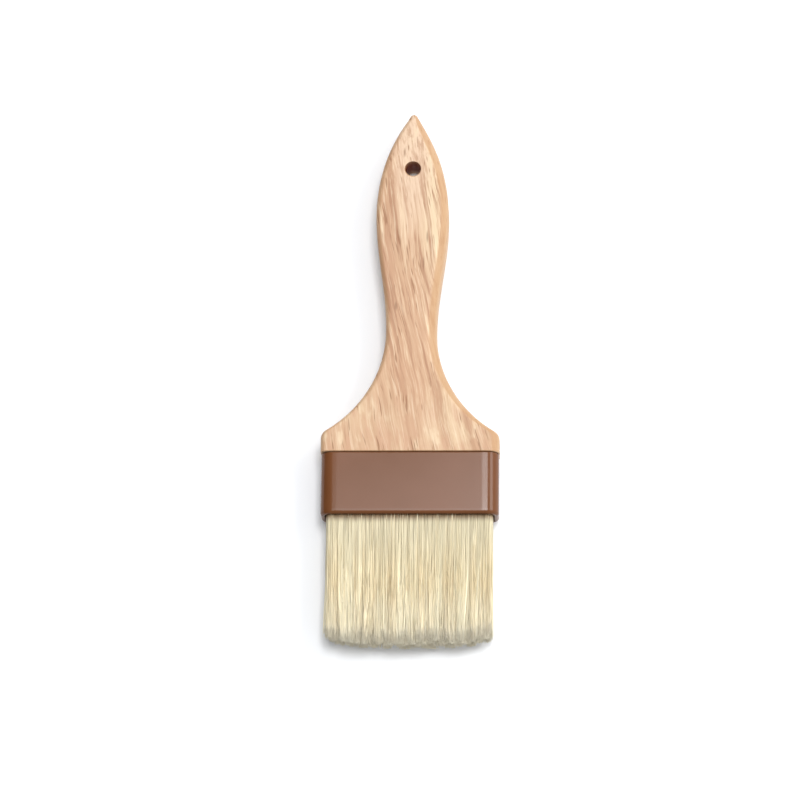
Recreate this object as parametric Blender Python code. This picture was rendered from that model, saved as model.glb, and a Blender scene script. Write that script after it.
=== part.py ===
"""Flat pastry brush, lying on its back.

A wooden handle ends in a tenon inside a moulded plastic ferrule. Below the tenon the ferrule
holds a resin block, a spacer strip and the roots of two rows of bristles set in the resin.
The free bristles are grouped in tufts, which bend together about one axis just outside
the ferrule.

+Y points along the handle to its tip, +Z out of the front face and +X across the brush.
The origin is on the table, below the middle of the brush.
"""
import math

import bmesh
import bpy

MM = 0.001

# Places along the brush, measured from the tip of the handle.
LENGTH = 235.0 * MM
HOLE_FROM_TIP = 26.8 * MM
BULGE_FROM_TIP = 48.0 * MM
NECK_FROM_TIP = 99.9 * MM
FERRULE_FROM_TIP = 154.2 * MM

# Outline of the handle, as half widths, and the radii of its curves.
TIP_HALF_WIDTH = 1.1 * MM
BULGE_HALF_WIDTH = 15.5 * MM
NECK_HALF_WIDTH = 10.8 * MM
SHOULDER_HALF_WIDTH = 37.5 * MM
FLARE_RADIUS = 52.3 * MM
SHOULDER_RADIUS = 4.0 * MM

# Thickness of the handle, as halves, and the rounding of its long edges.
TIP_HALF_THICKNESS = 2.8 * MM
NECK_HALF_THICKNESS = 7.5 * MM
HALF_THICKNESS = 8.5 * MM
EDGE_RADIUS = 5.0 * MM
CORNER_STEPS = 6
TIP_BEVEL = 0.5 * MM
TIP_BEVEL_SCALE = 0.6

HOLE_RADIUS = 3.4 * MM
HOLE_CHAMFER = 0.35 * MM

# The ferrule is a tube of even wall, flush with the wood but for its slightly narrower sides.
FERRULE_HALF_WIDTH = 37.2 * MM
FERRULE_HEIGHT = 26.6 * MM
WALL = 2.0 * MM
RIM_RADIUS = 1.0 * MM
SMALL_BEVEL = 0.3 * MM

# What the ferrule holds. Touching pieces keep a small gap.
GAP = 0.3 * MM
TENON_DEPTH = 11.5 * MM
RESIN_HEIGHT = 7.0 * MM
POCKET_DEPTH = 3.5 * MM
POCKET_LOW = 1.8 * MM
POCKET_HIGH = 5.3 * MM
POCKET_MARGIN = 1.9 * MM
SPACER_HALF_THICKNESS = 1.2 * MM
SPACER_MARGIN = 1.2 * MM
SPACER_INSET = 1.0 * MM

# The free bristles.
TUFTS_PER_ROW = 8
TUFT_GAP = 0.3 * MM
TUFT_CORNER = 0.8 * MM
BELLY_HALF_THICKNESS = 6.6 * MM
TIP_WIDTH_SCALE = 0.965
CORNER_DROP = 4.0 * MM
TIP_ROUNDING = 0.8 * MM

# Heights and places that follow from the above.
CENTRE_Z = HALF_THICKNESS
FERRULE_TOP = LENGTH / 2 - FERRULE_FROM_TIP
MOUTH = FERRULE_TOP - FERRULE_HEIGHT
TENON_END = FERRULE_TOP - TENON_DEPTH
RESIN_TOP = TENON_END - GAP
RESIN_BOTTOM = RESIN_TOP - RESIN_HEIGHT
INSIDE_HALF_WIDTH = FERRULE_HALF_WIDTH - WALL - GAP
INSIDE_HALF_THICKNESS = HALF_THICKNESS - WALL - GAP
INSIDE_RADIUS = EDGE_RADIUS - WALL - GAP
HINGE_Y = MOUTH - GAP - INSIDE_HALF_THICKNESS
TUFT_TIP = -LENGTH / 2

WOOD = (0.80, 0.57, 0.35)
BROWN_PLASTIC = (0.115, 0.045, 0.020)
RESIN = (0.45, 0.29, 0.10)
SPACER_WOOD = (0.62, 0.45, 0.27)
BRISTLE = (0.74, 0.66, 0.46)
BRISTLE_ROOT = (0.62, 0.52, 0.33)


def clear_scene():
    """Remove whatever the file starts with."""
    for item in list(bpy.data.objects):
        bpy.data.objects.remove(item, do_unlink=True)


def make_material(name, colour, roughness, metallic=0.0):
    """Make a Principled material of one colour."""
    material = bpy.data.materials.new(name)
    material.use_nodes = True
    shader = material.node_tree.nodes["Principled BSDF"]
    shader.inputs["Base Color"].default_value = (*colour, 1.0)
    shader.inputs["Roughness"].default_value = roughness
    shader.inputs["Metallic"].default_value = metallic
    return material


def rounded_rectangle(low, high, radii, segments):
    """Return (x, z) points round a rectangle, with one radius for each corner.

    The corners run from (high x, high z) to (low x, high z), (low x, low z)
    and (high x, low z).
    """
    signs = ((1, 1), (-1, 1), (-1, -1), (1, -1))
    points = []
    for corner, (sign_x, sign_z) in enumerate(signs):
        radius = radii[corner]
        centre_x = (high[0] if sign_x > 0 else low[0]) - sign_x * radius
        centre_z = (high[1] if sign_z > 0 else low[1]) - sign_z * radius
        for step in range(segments + 1):
            angle = math.radians(90.0) * (corner + step / segments)
            x = centre_x + radius * math.cos(angle)
            z = centre_z + radius * math.sin(angle)
            points.append((x, z))
    return points


def centred_section(half_x, half_z, radius, segments):
    """Return a rounded rectangle about the brush's own axis."""
    low = (-half_x, CENTRE_Z - half_z)
    high = (half_x, CENTRE_Z + half_z)
    return rounded_rectangle(low, high, [radius] * 4, segments)


def place_ring(section, y):
    """Lift an (x, z) section to its place along the brush."""
    return [(x, y, z) for x, z in section]


def loft(name, rings, material, closed=False, parent=None, origin=(0.0, 0.0, 0.0)):
    """Join rings of equal point counts into one solid.

    A closed loft joins its last ring to its first; an open one gets a cap at each end.
    """
    mesh = bpy.data.meshes.new(name)
    shape = bmesh.new()
    verts = []
    for ring in rings:
        verts.append([shape.verts.new([p - o for p, o in zip(point, origin)]) for point in ring])
    pairs = list(zip(verts, verts[1:]))
    if closed:
        pairs.append((verts[-1], verts[0]))
    for ring, following in pairs:
        count = len(ring)
        for i in range(count):
            j = (i + 1) % count
            shape.faces.new((ring[i], ring[j], following[j], following[i]))
    if not closed:
        shape.faces.new(verts[0])
        shape.faces.new(verts[-1])
    bmesh.ops.recalc_face_normals(shape, faces=shape.faces)
    shape.to_mesh(mesh)
    shape.free()
    mesh.materials.append(material)
    mesh.shade_smooth()
    mesh.set_sharp_from_angle(angle=math.radians(35.0))
    solid = bpy.data.objects.new(name, mesh)
    bpy.context.scene.collection.objects.link(solid)
    solid.parent = parent
    solid.location = origin if parent is None else [o - p for o, p in zip(origin, parent.location)]
    return solid


def cut(solid, cutter):
    """Subtract a cutter, which stays in the file as a wire guide."""
    cutter.hide_render = True
    cutter.display_type = "WIRE"
    modifier = solid.modifiers.new(cutter.name, "BOOLEAN")
    modifier.operation = "DIFFERENCE"
    modifier.solver = "EXACT"
    modifier.object = cutter


def ease(start, end, fraction):
    """Blend smoothly from start to end as fraction goes from 0 to 1."""
    fraction = min(max(fraction, 0.0), 1.0)
    return start + (end - start) * (1.0 - math.cos(math.pi * fraction)) / 2.0


def ogive(at_tip, at_bulge, from_tip):
    """Follow the circular arc that rises from the tip and is level at the bulge."""
    rise = at_bulge - at_tip
    radius = (BULGE_FROM_TIP ** 2 + rise ** 2) / (2.0 * rise)
    back = BULGE_FROM_TIP - from_tip
    return at_bulge - radius + math.sqrt(radius ** 2 - back ** 2)


def shoulder_fillet():
    """Return the fillet's centre and where it leaves the flare, as (from tip, half width)."""
    flare_centre = (NECK_FROM_TIP, NECK_HALF_WIDTH + FLARE_RADIUS)
    reach = FLARE_RADIUS + SHOULDER_RADIUS
    height = SHOULDER_HALF_WIDTH - SHOULDER_RADIUS
    along = math.sqrt(reach ** 2 - (flare_centre[1] - height) ** 2)
    centre = (NECK_FROM_TIP + along, height)
    start = NECK_FROM_TIP + along * FLARE_RADIUS / reach
    return centre, start


def handle_half_width(from_tip):
    """Half width of the handle: ogive, waist, circular flare, rounded shoulder, then straight."""
    centre, flare_end = shoulder_fillet()
    if from_tip < BULGE_FROM_TIP:
        return ogive(TIP_HALF_WIDTH, BULGE_HALF_WIDTH, from_tip)
    if from_tip < NECK_FROM_TIP:
        fraction = (from_tip - BULGE_FROM_TIP) / (NECK_FROM_TIP - BULGE_FROM_TIP)
        return ease(BULGE_HALF_WIDTH, NECK_HALF_WIDTH, fraction)
    if from_tip < flare_end:
        along = from_tip - NECK_FROM_TIP
        return NECK_HALF_WIDTH + FLARE_RADIUS - math.sqrt(FLARE_RADIUS ** 2 - along ** 2)
    if from_tip < centre[0]:
        back = centre[0] - from_tip
        return centre[1] + math.sqrt(SHOULDER_RADIUS ** 2 - back ** 2)
    return SHOULDER_HALF_WIDTH


def handle_half_thickness(from_tip):
    """Half thickness: it rises from the tip, thins at the neck and is full at the shoulder."""
    if from_tip < BULGE_FROM_TIP:
        return ogive(TIP_HALF_THICKNESS, HALF_THICKNESS, from_tip)
    if from_tip < NECK_FROM_TIP:
        fraction = (from_tip - BULGE_FROM_TIP) / (NECK_FROM_TIP - BULGE_FROM_TIP)
        return ease(HALF_THICKNESS, NECK_HALF_THICKNESS, fraction)
    fraction = (from_tip - NECK_FROM_TIP) / (shoulder_fillet()[1] - NECK_FROM_TIP)
    return ease(NECK_HALF_THICKNESS, HALF_THICKNESS, fraction)


def handle_stations():
    """Distances from the tip at which the handle gets a ring, closer where it curves."""
    centre, flare_end = shoulder_fillet()
    stations = [BULGE_FROM_TIP * (i / 16) ** 1.5 for i in range(1, 16)]
    stations += [BULGE_FROM_TIP + (NECK_FROM_TIP - BULGE_FROM_TIP) * i / 12 for i in range(12)]
    stations += [NECK_FROM_TIP + (flare_end - NECK_FROM_TIP) * i / 16 for i in range(16)]
    fillet = centre[0] - flare_end
    stations += [flare_end + fillet * (1.0 - math.cos(math.radians(22.5 * i))) for i in (0, 1, 2)]
    stations += [flare_end + fillet * math.sin(math.radians(22.5 * i)) for i in (2, 3, 4)]
    return sorted(set(round(s, 6) for s in stations))


def handle_ring(from_tip, scale=1.0, inset=0.0):
    """Return one ring of the handle's outside, scaled or drawn in evenly for a bevel."""
    half_x = handle_half_width(from_tip) * scale - inset
    half_z = handle_half_thickness(from_tip) * scale - inset
    radius = min(EDGE_RADIUS - inset, 0.9 * half_x, 0.9 * half_z)
    section = centred_section(half_x, half_z, radius, CORNER_STEPS)
    return place_ring(section, LENGTH / 2 - from_tip)


def tenon_ring(y, inset):
    """Return one ring of the tenon that fills the ferrule's upper half."""
    half_x = INSIDE_HALF_WIDTH - inset
    half_z = INSIDE_HALF_THICKNESS - inset
    section = centred_section(half_x, half_z, INSIDE_RADIUS - inset, CORNER_STEPS)
    return place_ring(section, y)


def hole_cutter(material):
    """Make the turned cutter of the hanging hole, which widens at both faces of the wood."""
    y = LENGTH / 2 - HOLE_FROM_TIP
    half = handle_half_thickness(HOLE_FROM_TIP)
    wide = HOLE_RADIUS + HOLE_CHAMFER
    profile = [(-half - WALL, wide + WALL), (-half + HOLE_CHAMFER, HOLE_RADIUS)]
    profile += [(half - HOLE_CHAMFER, HOLE_RADIUS), (half + WALL, wide + WALL)]
    rings = []
    for height, radius in profile:
        angles = [math.radians(360.0 * i / 32) for i in range(32)]
        z = CENTRE_Z + height
        rings.append([(radius * math.cos(a), y + radius * math.sin(a), z) for a in angles])
    return loft("hole_cutter", rings, material)


def make_handle():
    """Make the wooden handle with its tenon and hanging hole."""
    wood = make_material("handle_wood", WOOD, 0.5)
    rings = [handle_ring(0.0, TIP_BEVEL_SCALE), handle_ring(TIP_BEVEL)]
    rings += [handle_ring(s) for s in handle_stations() if s > TIP_BEVEL]
    shoulder = FERRULE_FROM_TIP - GAP
    rings += [handle_ring(shoulder - SMALL_BEVEL), handle_ring(shoulder, inset=SMALL_BEVEL)]
    rings += [tenon_ring(LENGTH / 2 - shoulder, 0.0)]
    rings += [tenon_ring(TENON_END + SMALL_BEVEL, 0.0), tenon_ring(TENON_END, SMALL_BEVEL)]
    handle = loft("handle", rings, wood)
    cut(handle, hole_cutter(wood))


def ferrule_profile():
    """Return the wall's section as (inset from the outside, y) points."""
    profile = [(SMALL_BEVEL, FERRULE_TOP), (0.0, FERRULE_TOP - SMALL_BEVEL)]
    for step in range(5):
        angle = math.radians(90.0) * step / 4
        inset = RIM_RADIUS * (1.0 - math.cos(angle))
        profile.append((inset, MOUTH + RIM_RADIUS * (1.0 - math.sin(angle))))
    profile += [(WALL - SMALL_BEVEL, MOUTH), (WALL, MOUTH + SMALL_BEVEL)]
    profile += [(WALL, FERRULE_TOP - SMALL_BEVEL), (WALL - SMALL_BEVEL, FERRULE_TOP)]
    return profile


def make_ferrule():
    """Make the moulded band as one tube with a rounded rim at the bristle end."""
    rings = []
    for inset, y in ferrule_profile():
        half_x = FERRULE_HALF_WIDTH - inset
        half_z = HALF_THICKNESS - inset
        section = centred_section(half_x, half_z, EDGE_RADIUS - inset, CORNER_STEPS)
        rings.append(place_ring(section, y))
    loft("ferrule", rings, make_material("ferrule_plastic", BROWN_PLASTIC, 0.28), closed=True)


def row_box(side, low, high, half_x):
    """Return the (low, high) corners of a row's section; side is 1 in front and -1 behind."""
    edges = sorted((CENTRE_Z + side * low, CENTRE_Z + side * high))
    return (-half_x, edges[0]), (half_x, edges[1])


def row_radii(side, outer, inner):
    """Round the two outer corners of a row's section by one radius and the others by another."""
    return [outer, outer, inner, inner] if side > 0 else [inner, inner, outer, outer]


def pocket_cutter(side, material):
    """Make the cutter of one slot in the resin, where a row of bristles is embedded."""
    low, high = row_box(side, POCKET_LOW, POCKET_HIGH, INSIDE_HALF_WIDTH - POCKET_MARGIN)
    section = rounded_rectangle(low, high, [SMALL_BEVEL] * 4, 2)
    rings = [place_ring(section, y) for y in (RESIN_BOTTOM - WALL, RESIN_BOTTOM + POCKET_DEPTH)]
    return loft("pocket_cutter_front" if side > 0 else "pocket_cutter_back", rings, material)


def make_resin_block():
    """Make the cast block that locks both rows of bristles and fills up to the tenon."""
    resin = make_material("setting_resin", RESIN, 0.3)
    half_x, half_z = INSIDE_HALF_WIDTH, INSIDE_HALF_THICKNESS
    section = centred_section(half_x, half_z, INSIDE_RADIUS, CORNER_STEPS)
    block = loft("resin_block", [place_ring(section, y) for y in (RESIN_TOP, RESIN_BOTTOM)], resin)
    for side in (1, -1):
        cut(block, pocket_cutter(side, resin))


def make_spacer_strip():
    """Make the wooden strip that parts the two rows inside the ferrule."""
    half_x = INSIDE_HALF_WIDTH - SPACER_MARGIN
    section = centred_section(half_x, SPACER_HALF_THICKNESS, SMALL_BEVEL, 2)
    rings = [place_ring(section, y) for y in (RESIN_BOTTOM - GAP, MOUTH + SPACER_INSET)]
    loft("spacer_strip", rings, make_material("spacer_wood", SPACER_WOOD, 0.6))


def make_bristle_roots(name, side):
    """Make the fixed roots of one row: a narrow end in the resin, then full width to the mouth."""
    margin = INSIDE_HALF_WIDTH - POCKET_MARGIN - GAP
    low, high = row_box(side, POCKET_LOW + GAP, POCKET_HIGH - GAP, margin)
    narrow = rounded_rectangle(low, high, [SMALL_BEVEL] * 4, 3)
    inner = SPACER_HALF_THICKNESS + GAP
    low, high = row_box(side, inner, INSIDE_HALF_THICKNESS, INSIDE_HALF_WIDTH)
    wide = rounded_rectangle(low, high, row_radii(side, INSIDE_RADIUS, SMALL_BEVEL), 3)
    step = RESIN_BOTTOM - GAP
    rings = [place_ring(narrow, y) for y in (RESIN_BOTTOM + POCKET_DEPTH - GAP, step)]
    rings += [place_ring(wide, y) for y in (step, MOUTH)]
    loft(name, rings, make_material(name, BRISTLE_ROOT, 0.8))


def tuft_ring(side, column, reach, inner, outer, rise):
    """Return one ring of a tuft.

    reach is how far the ring lies from the hinge line to the tip, from 0 to 1, rise is its
    distance above that line towards the handle, and inner and outer are its limits from
    mid-depth.
    """
    pitch = 2.0 * INSIDE_HALF_WIDTH / TUFTS_PER_ROW
    left = -INSIDE_HALF_WIDTH + pitch * column + (TUFT_GAP / 2 if column else 0.0)
    last = column == TUFTS_PER_ROW - 1
    right = -INSIDE_HALF_WIDTH + pitch * (column + 1) - (0.0 if last else TUFT_GAP / 2)
    edges = sorted((CENTRE_Z + side * inner, CENTRE_Z + side * outer))
    small = min(TUFT_CORNER, 0.3 * (outer - inner))
    corner = min(INSIDE_RADIUS, 0.6 * (outer - inner))
    right_radius = corner if last else small
    left_radius = small if column else corner
    radii = [right_radius, left_radius, small, small]
    if side < 0:
        radii = [small, small, left_radius, right_radius]
    points = rounded_rectangle((left, edges[0]), (right, edges[1]), radii, 2)
    narrowing = 1.0 + (TIP_WIDTH_SCALE - 1.0) * reach
    ring = []
    for x, z in points:
        tip = TUFT_TIP + CORNER_DROP * (abs(x) / INSIDE_HALF_WIDTH) ** 4
        ring.append((x * narrowing, HINGE_Y + rise + (tip - HINGE_Y) * reach, z))
    return ring


def make_tuft(side, column, hinge, material):
    """Make one tuft, with a round top about the hinge line and a softened end."""
    inner = TUFT_GAP / 2
    radius = INSIDE_HALF_THICKNESS
    rings = []
    for degrees in (12, 30, 50, 70, 90):
        angle = math.radians(degrees)
        outer = radius * math.sin(angle)
        rings.append(tuft_ring(side, column, 0.0, inner, outer, radius * math.cos(angle)))
    for reach, outer in ((0.45, BELLY_HALF_THICKNESS), (0.97, radius)):
        rings.append(tuft_ring(side, column, reach, inner, outer, 0.0))
    end = tuft_ring(side, column, 1.0, inner + TIP_ROUNDING, radius - TIP_ROUNDING, 0.0)
    rings.append(end)
    row = "front" if side > 0 else "back"
    name = f"{row}_tuft_{column + 1}"
    loft(name, rings, material, parent=hinge, origin=hinge.location)


def make_hinge_empty():
    """Mark the line about which the free bristles bend."""
    hinge = bpy.data.objects.new("bristle_flex_axis", None)
    hinge.location = (0.0, HINGE_Y, CENTRE_Z)
    bpy.context.scene.collection.objects.link(hinge)
    return hinge


def make_tufts():
    """Make both rows of tufts on one hinge line."""
    hinge = make_hinge_empty()
    for side in (1, -1):
        for column in range(TUFTS_PER_ROW):
            material = make_material(f"bristle_{side}_{column}", BRISTLE, 0.6)
            make_tuft(side, column, hinge, material)


def main():
    """Build every piece of the brush."""
    clear_scene()
    make_handle()
    make_ferrule()
    make_resin_block()
    make_spacer_strip()
    make_bristle_roots("front_bristle_roots", 1)
    make_bristle_roots("back_bristle_roots", -1)
    make_tufts()


main()
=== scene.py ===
"""Looks of a flat pastry brush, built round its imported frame.

The handle, the ferrule and the bristles are made as fine meshes in the place of their plain
solids, each with a procedural material. The brush lies on its back on a pale floor: +Y points
to the handle's tip, +Z out of the front face and +X to the right. Lengths are in metres.
"""

import math

import bmesh
import bpy
import numpy as np
from mathutils import Matrix, Vector, noise


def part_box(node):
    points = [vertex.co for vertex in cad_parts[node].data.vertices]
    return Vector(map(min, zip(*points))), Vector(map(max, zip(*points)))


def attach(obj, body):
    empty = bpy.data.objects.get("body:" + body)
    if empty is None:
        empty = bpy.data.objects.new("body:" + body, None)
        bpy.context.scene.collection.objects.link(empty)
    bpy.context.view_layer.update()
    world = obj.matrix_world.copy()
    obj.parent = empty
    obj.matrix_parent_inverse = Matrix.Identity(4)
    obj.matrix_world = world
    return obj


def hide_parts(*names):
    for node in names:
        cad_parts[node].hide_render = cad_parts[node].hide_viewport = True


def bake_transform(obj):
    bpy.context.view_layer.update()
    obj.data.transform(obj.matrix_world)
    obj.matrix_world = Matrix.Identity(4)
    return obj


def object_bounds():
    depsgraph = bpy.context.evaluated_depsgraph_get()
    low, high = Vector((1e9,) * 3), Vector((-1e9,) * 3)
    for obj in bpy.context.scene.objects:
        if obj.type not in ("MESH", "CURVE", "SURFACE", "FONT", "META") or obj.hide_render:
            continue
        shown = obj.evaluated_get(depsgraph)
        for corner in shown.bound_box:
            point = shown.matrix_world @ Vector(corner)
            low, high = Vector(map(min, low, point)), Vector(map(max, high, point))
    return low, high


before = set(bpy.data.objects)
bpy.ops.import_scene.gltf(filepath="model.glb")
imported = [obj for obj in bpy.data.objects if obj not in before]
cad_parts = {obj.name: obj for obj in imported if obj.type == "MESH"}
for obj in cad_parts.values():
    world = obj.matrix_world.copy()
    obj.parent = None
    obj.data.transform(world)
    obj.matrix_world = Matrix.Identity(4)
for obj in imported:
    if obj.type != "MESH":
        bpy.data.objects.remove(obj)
CAD_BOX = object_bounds()

MM = 0.001
QUARTER_TURN = math.radians(90.0)

# Places read from the frame.
FERRULE_LOW, FERRULE_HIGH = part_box("ferrule")
HANDLE_LOW, HANDLE_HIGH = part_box("handle")
ROOTS_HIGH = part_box("front_bristle_roots")[1]
TIP_Y = HANDLE_HIGH.y
TENON_END = HANDLE_LOW.y
FERRULE_TOP = FERRULE_HIGH.y
MOUTH = FERRULE_LOW.y
BRISTLE_END = CAD_BOX[0].y
CENTRE_Z = (FERRULE_LOW.z + FERRULE_HIGH.z) / 2
HALF_THICKNESS = (FERRULE_HIGH.z - FERRULE_LOW.z) / 2
SHOULDER_HALF_WIDTH = HANDLE_HIGH.x
FERRULE_HALF_WIDTH = FERRULE_HIGH.x
PACK_HALF_WIDTH = ROOTS_HIGH.x
PACK_HALF_DEPTH = ROOTS_HIGH.z - CENTRE_Z

# The handle's outline and edges, as in the frame.
BULGE_FROM_TIP = 48.0 * MM
NECK_FROM_TIP = 99.9 * MM
TIP_HALF_WIDTH = 1.1 * MM
BULGE_HALF_WIDTH = 15.5 * MM
NECK_HALF_WIDTH = 10.8 * MM
FLARE_RADIUS = 52.3 * MM
SHOULDER_RADIUS = 4.0 * MM
TIP_HALF_THICKNESS = 2.8 * MM
NECK_HALF_THICKNESS = 7.5 * MM
TIP_ROUND = 0.6 * MM
EDGE_RADIUS = 5.0 * MM
LEFT_EDGE_RADIUS = 2.4 * MM
GAP = 0.3 * MM
BEVEL = 0.3 * MM
HOLE_FROM_TIP = 26.8 * MM
HOLE_RADIUS = 3.4 * MM

# The ferrule's wall and its rolled rim.
WALL = 2.0 * MM
RIM_RADIUS = 1.0 * MM
RIM_LENGTH = 1.5 * MM

# The corners of the bristle pack, which are also those of the tenon.
PACK_CORNER = 2.7 * MM

HANDLE_BODY = "handle_assembly"
TUFTS_PER_ROW = 8


# ---------------------------------------------------------------- material graphs

class Graph:
    """A small wrapper that builds one material's node tree."""

    def __init__(self, name):
        """Start a material that holds only its shader."""
        self.material = bpy.data.materials.new(name)
        self.material.use_nodes = True
        self.tree = self.material.node_tree
        self.shader = self.tree.nodes["Principled BSDF"]

    def feed(self, socket, value):
        """Link a socket or set a constant."""
        if isinstance(value, bpy.types.NodeSocket):
            self.tree.links.new(value, socket)
        elif isinstance(value, tuple) and len(value) == 3 and len(socket.default_value) == 4:
            socket.default_value = (*value, 1.0)
        else:
            socket.default_value = value

    def node(self, kind, inputs=None, **settings):
        """Add a node, set its properties and feed its inputs by name or number."""
        node = self.tree.nodes.new(kind)
        for key, value in settings.items():
            setattr(node, key, value)
        for key, value in (inputs or {}).items():
            self.feed(node.inputs[key], value)
        return node

    def object_place(self):
        """The point's place in the object's own space."""
        return self.node("ShaderNodeTexCoord").outputs["Object"]

    def parts(self, vector):
        """The x, y and z of a vector."""
        return self.node("ShaderNodeSeparateXYZ", {0: vector}).outputs

    def math(self, operation, a, b=0.0):
        """One sum on two values."""
        return self.node("ShaderNodeMath", {0: a, 1: b}, operation=operation).outputs[0]

    def add(self, a, b):
        """a + b."""
        return self.math("ADD", a, b)

    def less(self, a, b):
        """a - b."""
        return self.math("SUBTRACT", a, b)

    def times(self, a, b):
        """a x b."""
        return self.math("MULTIPLY", a, b)

    def scaled(self, vector, scale):
        """Scale a vector axis by axis; a scale below 1 stretches the noise along that axis."""
        return self.node("ShaderNodeMapping", {"Vector": vector, "Scale": scale}).outputs[0]

    def noise(self, vector, scale, detail=2.0, roughness=0.5):
        """Fractal noise, about 0.5."""
        inputs = {"Vector": vector, "Scale": scale, "Detail": detail, "Roughness": roughness}
        return self.node("ShaderNodeTexNoise", inputs).outputs[0]

    def grained(self, vector, along, scale, detail=2.0, roughness=0.5):
        """Noise drawn out along Y, for a grain that runs that way."""
        return self.noise(self.scaled(vector, (1.0, along, 1.0)), scale, detail, roughness)

    def remap(self, value, low, high, start=0.0, end=1.0):
        """Map low..high to start..end, smoothly and clamped."""
        inputs = {"Value": value, "From Min": low, "From Max": high, "To Min": start, "To Max": end}
        node = self.node("ShaderNodeMapRange", inputs, interpolation_type="SMOOTHSTEP")
        return node.outputs[0]

    def ramp(self, value, stops):
        """Colours along a value, from (position, colour) stops."""
        node = self.node("ShaderNodeValToRGB", {0: value})
        elements = node.color_ramp.elements
        while len(elements) < len(stops):
            elements.new(1.0)
        for element, (position, colour) in zip(elements, stops):
            element.position = position
            element.color = (*colour, 1.0)
        return node.outputs[0]

    def mix(self, factor, a, b):
        """Blend from colour a to colour b; 6, 7 and 2 are the node's colour sockets."""
        node = self.node("ShaderNodeMix", {"Factor": factor, 6: a, 7: b}, data_type="RGBA")
        return node.outputs[2]

    def tint(self, colour, mask, strength, towards):
        """Blend a colour towards another where the mask is 1, as far as the strength says."""
        return self.mix(self.times(mask, strength), colour, towards)

    def spot(self, vector, centre, radii):
        """1 at an ellipsoid's centre, falling smoothly to 0 at its surface."""
        scale = tuple(1.0 / r for r in radii)
        shift = tuple(-c / r for c, r in zip(centre, radii))
        local = self.node("ShaderNodeMapping", {"Vector": vector, "Scale": scale, "Location": shift})
        inputs = {"Vector": local.outputs[0]}
        gradient = self.node("ShaderNodeTexGradient", inputs, gradient_type="SPHERICAL")
        return self.remap(gradient.outputs[1], 0.0, 0.75)

    def bump(self, height, depth, strength=1.0):
        """A normal that rises and falls with the height, by a depth in metres."""
        inputs = {"Height": height, "Distance": depth, "Strength": strength}
        return self.node("ShaderNodeBump", inputs).outputs[0]

    def finish(self, **inputs):
        """Feed the Principled shader; underscores in the names stand for spaces."""
        for key, value in inputs.items():
            self.feed(self.shader.inputs[key.replace("_", " ")], value)
        return self.material


# ---------------------------------------------------------------- wood

# How the grain runs: its lean in the grip, and its fan below a line across the neck.
GRAIN_LEAN = 0.15
GRAIN_SWAY = 12.0 * MM
FAN_START = 15.0 * MM
FAN_SPREAD = 2.0
FAN_LEAN = 0.08

# Stops of the ground colour, pale to rosy, and of the cut sides.
WOOD_GROUND = (
    (0.36, (0.615, 0.437, 0.272)),
    (0.50, (0.565, 0.370, 0.227)),
    (0.64, (0.50, 0.297, 0.177)),
)
FLANK_GROUND = (
    (0.32, (0.60, 0.41, 0.25)),
    (0.68, (0.47, 0.29, 0.16)),
)

MOTTLE_PINK = (0.52, 0.30, 0.185)
MOTTLE_CREAM = (0.72, 0.56, 0.37)
STREAK_DARK = (0.39, 0.21, 0.12)
STREAK_LIGHT = (0.74, 0.58, 0.39)
FIBRE_DARK = (0.42, 0.24, 0.14)
FIBRE_LIGHT = (0.76, 0.61, 0.43)
PORE_BROWN = (0.26, 0.125, 0.065)
FLECK_BROWN = (0.22, 0.11, 0.055)
# Round edges: partly their own warmer grain, partly painted shade, stronger on the right side.
EDGE_GRAIN_AND_SHADE = (0.45, 0.26, 0.13)
# Painted shade on the wall of the hanging hole, which darkens deeper in.
HOLE_PAINTED_SHADE = (0.28, 0.04, 0.0)

# Broad patches of the front face: centre and radii.
TIP_PATCH = ((0.0, 0.100, 0.016), (0.013, 0.055, 0.03))
PLAIN_PATCH = ((-0.028, -0.030, 0.016), (0.030, 0.040, 0.04))
PALE_PATCH = ((0.0085, 0.068, 0.016), (0.0062, 0.055, 0.02))
ROSY_PATCH = ((-0.012, 0.050, 0.016), (0.0105, 0.060, 0.02))
HEART_PATCH = ((0.0, 0.014, 0.016), (0.020, 0.060, 0.03))

# What the patches do: patch, strength and colour.
PATCH_TINTS = (
    (PALE_PATCH, 0.85, (0.70, 0.54, 0.35)),
    (ROSY_PATCH, 0.9, (0.45, 0.25, 0.145)),
    (TIP_PATCH, 0.7, (0.69, 0.515, 0.38)),
    (HEART_PATCH, 0.7, (0.50, 0.285, 0.17)),
)

# Small dark flecks: centre and radii.
FLECKS = (
    ((-0.0066, 0.0280, 0.0155), (0.0009, 0.0030, 0.0030)),
    ((-0.0036, 0.0985, 0.0155), (0.0007, 0.0032, 0.0030)),
    ((-0.0020, 0.1010, 0.0155), (0.0005, 0.0022, 0.0030)),
    ((0.0065, 0.0590, 0.0165), (0.0006, 0.0040, 0.0030)),
    ((0.0050, 0.0470, 0.0165), (0.0005, 0.0045, 0.0030)),
)


def grain_space(g, place):
    """Coordinates that follow the grain: leaning in the grip and fanning into the shoulder."""
    sway = g.less(g.noise(place, 16.0), 0.5)
    x, y, z = g.parts(place)
    leaning = g.add(x, g.times(y, GRAIN_LEAN))
    below = g.math("MINIMUM", g.less(y, FAN_START), 0.0)
    spread = g.add(g.times(x, FAN_SPREAD), FAN_LEAN)
    fanned = g.add(leaning, g.times(below, spread))
    across = g.add(fanned, g.times(sway, GRAIN_SWAY))
    return g.node("ShaderNodeCombineXYZ", {0: across, 1: y, 2: z}).outputs[0]


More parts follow.
